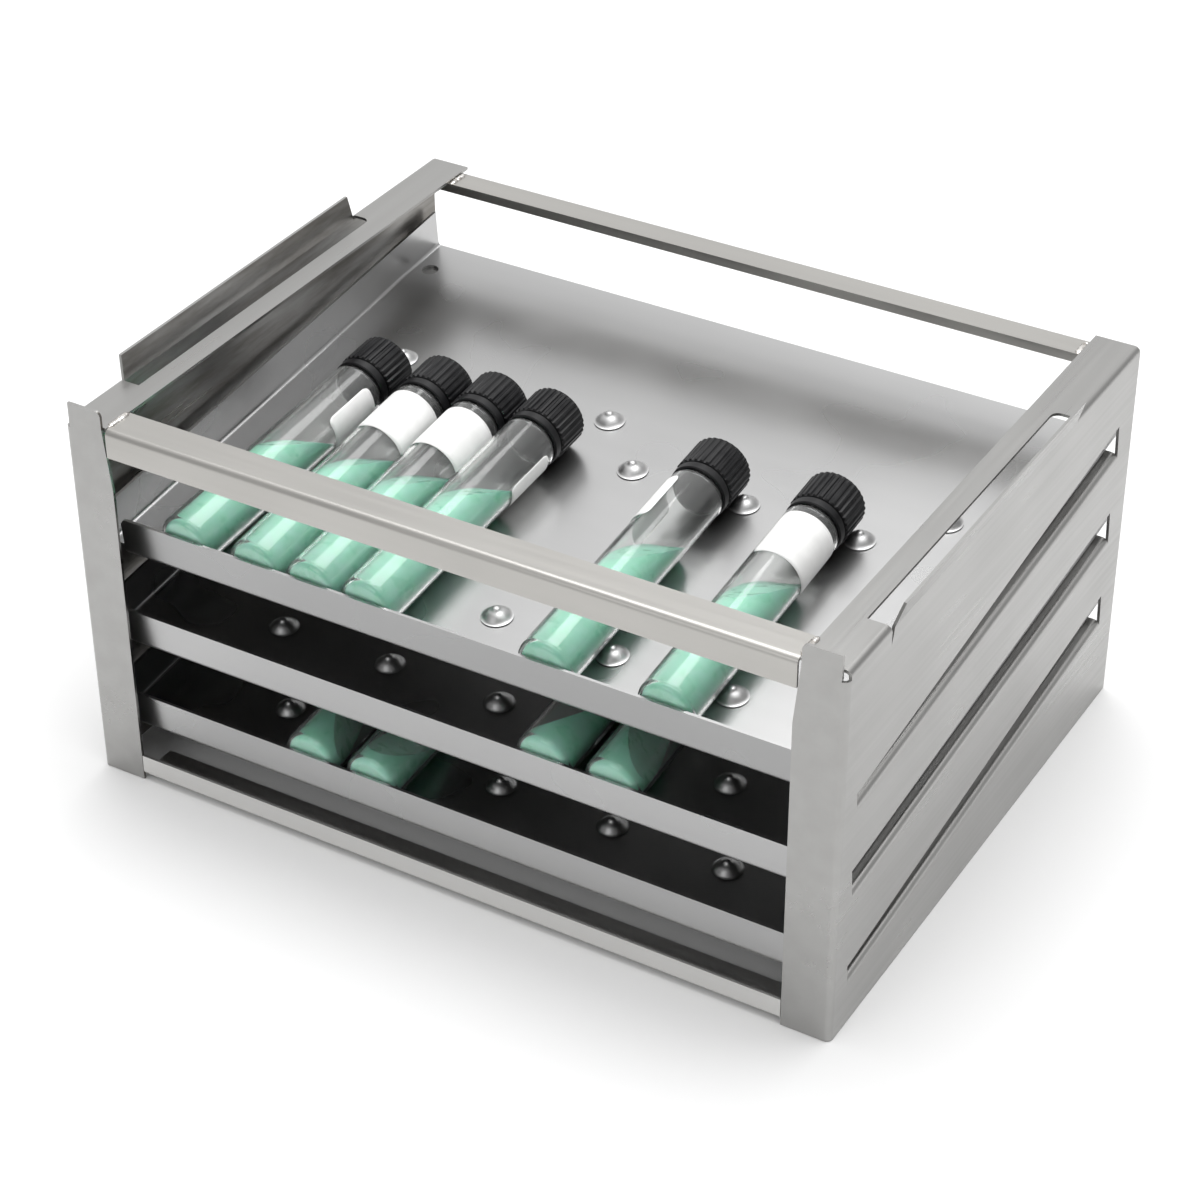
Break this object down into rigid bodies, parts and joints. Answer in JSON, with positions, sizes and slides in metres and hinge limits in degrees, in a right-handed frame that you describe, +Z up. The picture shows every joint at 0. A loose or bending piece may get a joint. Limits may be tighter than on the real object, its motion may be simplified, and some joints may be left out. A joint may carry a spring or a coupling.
{
  "type": "slant tube rack",
  "caption": "Sheet-steel bench rack with three sloping trays held on lanced ledges, pressed tube stops and capped glass culture tubes lying on the trays.",
  "frame": {"origin": "middle of the footprint at bench level", "axes": "+Z up, -Y towards the open front, +X to the right as seen from the front"},
  "size_m": [0.2838, 0.2144, 0.1453],
  "materials": {
    "frame_steel": "satin",
    "tray_steel": "satin",
    "weld_metal": "rough",
    "tube_glass": "clear",
    "cap_plastic": "satin",
    "culture_medium": "soft"
  },
  "bodies": {
    "frame": {"left_side_panel": "frame_steel", "right_side_panel": "frame_steel", "front_top_rail": "frame_steel", "rear_top_rail": "frame_steel", "front_bottom_rail": "frame_steel", "rear_bottom_rail": "frame_steel", "weld_beads": "weld_metal"},
    "upper_shelf": {"upper_tray": "tray_steel", "upper_tray_stops": "tray_steel"},
    "middle_shelf": {"middle_tray": "tray_steel", "middle_tray_stops": "tray_steel"},
    "lower_shelf": {"lower_tray": "tray_steel", "lower_tray_stops": "tray_steel"},
    "culture_tube_1": {"tube_1_glass": "tube_glass", "tube_1_medium": "culture_medium"},
    "screw_cap_1": {"tube_1_cap": "cap_plastic"},
    "culture_tube_2": {"tube_2_glass": "tube_glass", "tube_2_medium": "culture_medium"},
    "screw_cap_2": {"tube_2_cap": "cap_plastic"},
    "culture_tube_3": {"tube_3_glass": "tube_glass", "tube_3_medium": "culture_medium"},
    "screw_cap_3": {"tube_3_cap": "cap_plastic"},
    "culture_tube_4": {"tube_4_glass": "tube_glass", "tube_4_medium": "culture_medium"},
    "screw_cap_4": {"tube_4_cap": "cap_plastic"},
    "culture_tube_5": {"tube_5_glass": "tube_glass", "tube_5_medium": "culture_medium"},
    "screw_cap_5": {"tube_5_cap": "cap_plastic"},
    "culture_tube_6": {"tube_6_glass": "tube_glass", "tube_6_medium": "culture_medium"},
    "screw_cap_6": {"tube_6_cap": "cap_plastic"},
    "culture_tube_7": {"tube_7_glass": "tube_glass", "tube_7_medium": "culture_medium"},
    "screw_cap_7": {"tube_7_cap": "cap_plastic"},
    "culture_tube_8": {"tube_8_glass": "tube_glass", "tube_8_medium": "culture_medium"},
    "screw_cap_8": {"tube_8_cap": "cap_plastic"},
    "culture_tube_9": {"tube_9_glass": "tube_glass", "tube_9_medium": "culture_medium"},
    "screw_cap_9": {"tube_9_cap": "cap_plastic"},
    "culture_tube_10": {"tube_10_glass": "tube_glass", "tube_10_medium": "culture_medium"},
    "screw_cap_10": {"tube_10_cap": "cap_plastic"}
  },
  "joints": [
    {"name": "upper_tray_slide", "type": "slide", "parent": "frame", "child": "upper_shelf", "axis": [0, 0.9957, 0.0924], "range_m": [-0.0058, 0.15]},
    {"name": "middle_tray_slide", "type": "slide", "parent": "frame", "child": "middle_shelf", "axis": [0, 0.9957, 0.0924], "range_m": [-0.0035, 0.15]},
    {"name": "lower_tray_slide", "type": "slide", "parent": "frame", "child": "lower_shelf", "axis": [0, 0.9957, 0.0924], "range_m": [-0.0035, 0.15]},
    {"name": "tube_1_lift", "type": "slide", "parent": "upper_shelf", "child": "culture_tube_1", "axis": [0, 0.342, 0.9397], "range_m": [0, 0.08]},
    {"name": "cap_1_turn", "type": "hinge", "parent": "culture_tube_1", "child": "screw_cap_1", "pos_m": [-0.103, -0.09849, 0.097], "axis": [0.0257, 0.9948, 0.0989], "range_deg": [0, 540]},
    {"name": "tube_2_lift", "type": "slide", "parent": "upper_shelf", "child": "culture_tube_2", "axis": [0, 0.342, 0.9397], "range_m": [0, 0.08]},
    {"name": "cap_2_turn", "type": "hinge", "parent": "culture_tube_2", "child": "screw_cap_2", "pos_m": [-0.0754, -0.09857, 0.09699], "axis": [0.0051, 0.9951, 0.0989], "range_deg": [0, 540]},
    {"name": "tube_3_lift", "type": "slide", "parent": "upper_shelf", "child": "culture_tube_3", "axis": [0, 0.342, 0.9397], "range_m": [0, 0.08]},
    {"name": "cap_3_turn", "type": "hinge", "parent": "culture_tube_3", "child": "screw_cap_3", "pos_m": [-0.0536, -0.09857, 0.09699], "axis": [0.0051, 0.9951, 0.0989], "range_deg": [0, 540]},
    {"name": "tube_4_lift", "type": "slide", "parent": "upper_shelf", "child": "culture_tube_4", "axis": [0, 0.342, 0.9397], "range_m": [0, 0.08]},
    {"name": "cap_4_turn", "type": "hinge", "parent": "culture_tube_4", "child": "screw_cap_4", "pos_m": [-0.0326, -0.09853, 0.097], "axis": [0.0137, 0.995, 0.0989], "range_deg": [0, 540]},
    {"name": "tube_5_lift", "type": "slide", "parent": "upper_shelf", "child": "culture_tube_5", "axis": [0, 0.342, 0.9397], "range_m": [0, 0.08]},
    {"name": "cap_5_turn", "type": "hinge", "parent": "culture_tube_5", "child": "screw_cap_5", "pos_m": [0.033, -0.09857, 0.09699], "axis": [-0.0051, 0.9951, 0.0989], "range_deg": [0, 540]},
    {"name": "tube_6_lift", "type": "slide", "parent": "upper_shelf", "child": "culture_tube_6", "axis": [0, 0.342, 0.9397], "range_m": [0, 0.08]},
    {"name": "cap_6_turn", "type": "hinge", "parent": "culture_tube_6", "child": "screw_cap_6", "pos_m": [0.0753, -0.09856, 0.09699], "axis": [-0.0077, 0.9951, 0.0989], "range_deg": [0, 540]},
    {"name": "tube_7_lift", "type": "slide", "parent": "middle_shelf", "child": "culture_tube_7", "axis": [0, -0.0924, 0.9957], "range_m": [0, 0.008]},
    {"name": "cap_7_turn", "type": "hinge", "parent": "culture_tube_7", "child": "screw_cap_7", "pos_m": [0.0331, -0.10088, 0.06278], "axis": [-0.0026, 0.9951, 0.0989], "range_deg": [0, 540]},
    {"name": "tube_8_lift", "type": "slide", "parent": "middle_shelf", "child": "culture_tube_8", "axis": [0, -0.0924, 0.9957], "range_m": [0, 0.008]},
    {"name": "cap_8_turn", "type": "hinge", "parent": "culture_tube_8", "child": "screw_cap_8", "pos_m": [0.058, -0.10087, 0.06278], "axis": [-0.0051, 0.9951, 0.0989], "range_deg": [0, 540]},
    {"name": "tube_9_lift", "type": "slide", "parent": "lower_shelf", "child": "culture_tube_9", "axis": [0, -0.0924, 0.9957], "range_m": [0, 0.008]},
    {"name": "cap_9_turn", "type": "hinge", "parent": "culture_tube_9", "child": "screw_cap_9", "pos_m": [-0.057, -0.10086, 0.02878], "axis": [0.0069, 0.9951, 0.0989], "range_deg": [0, 540]},
    {"name": "tube_10_lift", "type": "slide", "parent": "lower_shelf", "child": "culture_tube_10", "axis": [0, -0.0924, 0.9957], "range_m": [0, 0.008]},
    {"name": "cap_10_turn", "type": "hinge", "parent": "culture_tube_10", "child": "screw_cap_10", "pos_m": [-0.0329, -0.10086, 0.02878], "axis": [0.006, 0.9951, 0.0989], "range_deg": [0, 540]}
  ]
}
